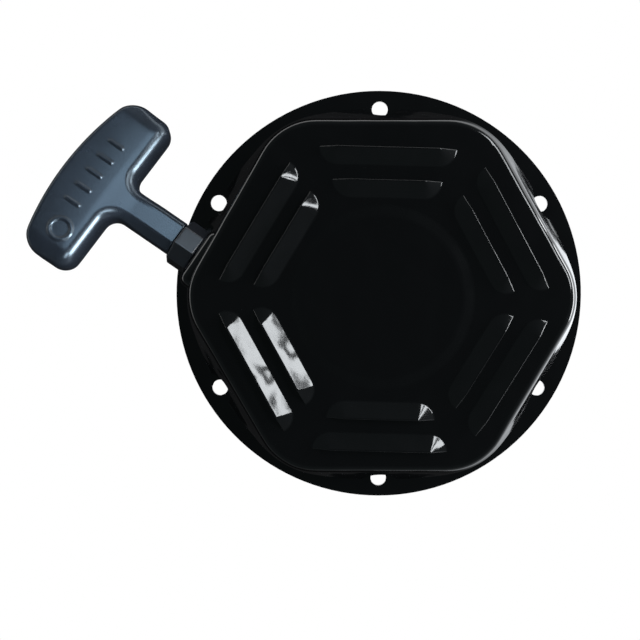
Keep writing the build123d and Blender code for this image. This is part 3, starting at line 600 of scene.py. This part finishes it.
def make_world():
    """Soft surroundings: white to the camera; to everything else a bright band low at +X, a dim sheet
    overhead and a pale horizon towards +Y."""
    world = bpy.data.worlds.new("studio")
    bpy.context.scene.world = world
    world.use_nodes = True
    tree = world.node_tree
    tree.nodes.clear()

    def background(colour, strength):
        inputs = {"Strength": strength}
        inputs["Color"] = colour if isinstance(colour, bpy.types.NodeSocket) else (*colour, 1.0)
        return add_node(tree, "ShaderNodeBackground", inputs).outputs[0]

    def mapped(value, from_low, from_high, low, high, **settings):
        inputs = {"Value": value, "From Min": from_low, "From Max": from_high, "To Min": low, "To Max": high}
        return add_node(tree, "ShaderNodeMapRange", inputs, **settings).outputs["Result"]

    def added(first, second):
        return add_node(tree, "ShaderNodeAddShader", {0: first, 1: second}).outputs[0]

    direction = add_node(tree, "ShaderNodeTexCoord").outputs["Generated"]
    parts = add_node(tree, "ShaderNodeSeparateXYZ", {0: direction}).outputs
    ramp = add_node(tree, "ShaderNodeValToRGB", {"Fac": parts["Z"]})
    stops = ramp.color_ramp.elements
    stops[0].position, stops[0].color = 0.0, (1.0, 1.0, 1.0, 1.0)
    stops[1].position, stops[1].color = 0.9, (0.002, 0.002, 0.002, 1.0)
    for position, level in ((0.30, 0.75), (0.50, 0.12), (0.70, 0.03)):
        stops.new(position).color = (level, level, level, 1.0)
    tint = add_node(tree, "ShaderNodeMix", {0: 0.5}, data_type="RGBA", blend_type="MULTIPLY")
    tree.links.new(ramp.outputs["Color"], tint.inputs[6])
    tint.inputs[7].default_value = (0.8, 0.9, 1.0, 1.0)
    side = mapped(parts["X"], -0.3, 0.85, 0.03, 0.9, interpolation_type="SMOOTHSTEP")
    band = background(tint.outputs[2], side)
    overhead = background((0.78, 0.97, 1.0), mapped(parts["Z"], 0.75, 1.0, 0.11, 0.06))
    low_share = mapped(parts["Z"], 0.16, 0.30, 1.0, 0.0)
    far_share = mapped(parts["Y"], -0.5, 0.1, 0.1, 2.4)
    level = add_node(tree, "ShaderNodeMath", {0: low_share, 1: far_share}, operation="MULTIPLY").outputs[0]
    horizon = background((1.0, 1.0, 1.0), level)
    soft = added(added(band, overhead), horizon)
    white = background((1.0, 1.0, 1.0), 1.0)
    path = add_node(tree, "ShaderNodeLightPath").outputs
    mixed = add_node(tree, "ShaderNodeMixShader", {0: path["Is Camera Ray"], 1: soft, 2: white}).outputs[0]
    output = add_node(tree, "ShaderNodeOutputWorld")
    tree.links.new(mixed, output.inputs["Surface"])


def linked(name, pieces):
    """A collection of pieces for a light's links."""
    collection = bpy.data.collections.new(name)
    for piece in pieces:
        collection.objects.link(piece)
    return collection


def softbox(name, azimuth, elevation, distance, width, height, power, colour, only=(), blockers=()):
    """An area light that faces the object's middle. Azimuth runs from +X towards +Y.

    `only` limits what it lights, and `blockers` what casts shadows in it.
    """
    light = bpy.data.lights.new(name, "AREA")
    light.shape = "RECTANGLE"
    light.size, light.size_y = width, height
    light.energy = power
    light.color = colour
    a, e = math.radians(azimuth), math.radians(elevation)
    place = Vector((math.cos(a) * math.cos(e), math.sin(a) * math.cos(e), math.sin(e))) * distance
    obj = bpy.data.objects.new(name, light)
    obj.location = place
    obj.rotation_euler = (-place).to_track_quat("-Z", "Y").to_euler()
    obj.visible_camera = False
    bpy.context.scene.collection.objects.link(obj)
    if only:
        obj.light_linking.receiver_collection = linked(name + "_lit", only)
    if blockers:
        obj.light_linking.blocker_collection = linked(name + "_blockers", blockers)


def make_camera():
    """The camera at the photographer's place, looking down on the cover."""
    data = bpy.data.cameras.new("camera")
    data.lens = CAMERA_LENS
    data.sensor_width = SENSOR_WIDTH
    data.shift_x, data.shift_y = CAMERA_SHIFT
    data.clip_start = 0.01
    camera = bpy.data.objects.new("camera", data)
    camera.location = CAMERA_PLACE
    camera.rotation_euler = Euler([math.radians(a) for a in CAMERA_TURN])
    bpy.context.scene.collection.objects.link(camera)
    bpy.context.scene.camera = camera


# ---- the scene -------------------------------------------------------------------------------------------
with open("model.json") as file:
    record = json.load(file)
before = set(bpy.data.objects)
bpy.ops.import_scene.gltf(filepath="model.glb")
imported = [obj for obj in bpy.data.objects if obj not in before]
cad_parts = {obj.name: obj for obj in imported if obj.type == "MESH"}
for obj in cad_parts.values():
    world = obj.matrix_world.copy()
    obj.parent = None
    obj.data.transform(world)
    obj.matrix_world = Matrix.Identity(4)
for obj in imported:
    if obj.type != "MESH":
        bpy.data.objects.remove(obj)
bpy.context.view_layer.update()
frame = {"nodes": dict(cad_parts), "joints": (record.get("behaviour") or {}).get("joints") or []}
materials = make_materials()
nodes = frame["nodes"]


def dress(piece, slot):
    """Gives a piece a slot's material."""
    paint(piece, materials[slot])


joint = next(j for j in frame["joints"] if j["name"] == "handle_pull")
pull = np.array(joint["axis"], float)
travel = joint["range_m"][1] / MM

rope_start, rope_end, rope_radius = straight_rope_ends(pull)
lead = make_rope_lead(rope_start, rope_end, rope_radius, pull, travel)
dress(lead, "braided_rope")

foot = rope_start - pull * (rope_start @ pull)
coil, anchor = make_rope_coil(foot, rope_radius)
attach(coil, "reel")
for piece in (coil, anchor):
    dress(piece, "braided_rope")

handle_points = np.array([v.co for v in nodes["handle_grip"].data.vertices]) / MM
handle_start = (handle_points @ pull).min()
handle_place = Matrix.Translation(Vector((foot + pull * handle_start) * MM))
handle_place = handle_place @ Matrix.Rotation(math.atan2(pull[1], pull[0]), 4, "Z")
handle_place = handle_place @ Matrix.Rotation(math.radians(HANDLE_ROLL), 4, "X")
grid_step = GRID_STEP
grip = net_object("grip", handle_field, HANDLE_LOW, HANDLE_HIGH, grid_step, handle_place)
dress(grip, "handle_plastic")
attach(grip, "handle")
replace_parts(grip, "handle_grip")

knot_low, knot_high = (np.array(c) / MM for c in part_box("rope_handle_knot"))
knot_middle = (knot_low + knot_high) / 2
knot_points = knot_line(knot_middle, pull, HANDLE_KNOT_WIDTH, HANDLE_KNOT_THICKNESS)
knot_tangents, knot_lengths = along_line(knot_points)
knot = rope_object("handle_knot", knot_points, knot_tangents, knot_lengths, HANDLE_KNOT_ROPE_R,
                   HANDLE_KNOT_SIDES)
dress(knot, "braided_rope")
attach(knot, "handle")
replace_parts(knot, "rope_handle_knot")

for name, slot in CAD_SLOTS.items():
    dress(nodes[name], slot)

pieces = [obj for obj in bpy.context.scene.objects if obj.type == "MESH"]
make_floor()
make_world()
# name, azimuth, elevation, distance, width, height, power, colour, what it lights, what casts shadows
softbox("main_0", 27.0, 44.0, 1.2, 0.75, 0.09, 3.4, (0.93, 0.97, 1.0))
softbox("main_1", 27.0, 51.0, 1.2, 0.75, 0.09, 3.4, (0.93, 0.97, 1.0))
softbox("right", 4.0, 14.0, 1.3, 1.00, 0.30, 16.0, (0.95, 0.98, 1.0))
softbox("grip_inner", -25.0, 32.0, 1.2, 0.40, 0.52, 40.0, (0.88, 0.95, 1.0), (grip,))
softbox("grip_corner", -62.0, 58.0, 1.2, 0.60, 0.30, 12.0, (0.85, 0.93, 1.0), (grip,))
softbox("grip_sky", 86.0, 67.0, 1.2, 0.50, 0.45, 4.8, (0.66, 0.83, 1.0), (grip, nodes["rope_guide"]))
inner = [nodes[name] for name in INNER_NODES] + [coil, anchor, lead]
softbox("below", 90.0, -85.0, 1.0, 0.90, 0.90, 2.4, WHITE, inner, pieces)
softbox("below_cover", 90.0, -88.0, 1.0, 0.60, 0.60, 2.2, WHITE, [nodes["cover_shell"]], pieces)
softbox("below_side", 200.0, -45.0, 1.0, 0.60, 0.60, 5.0, WHITE, inner, pieces)
make_camera()
bpy.context.scene.view_settings.view_transform = "Standard"
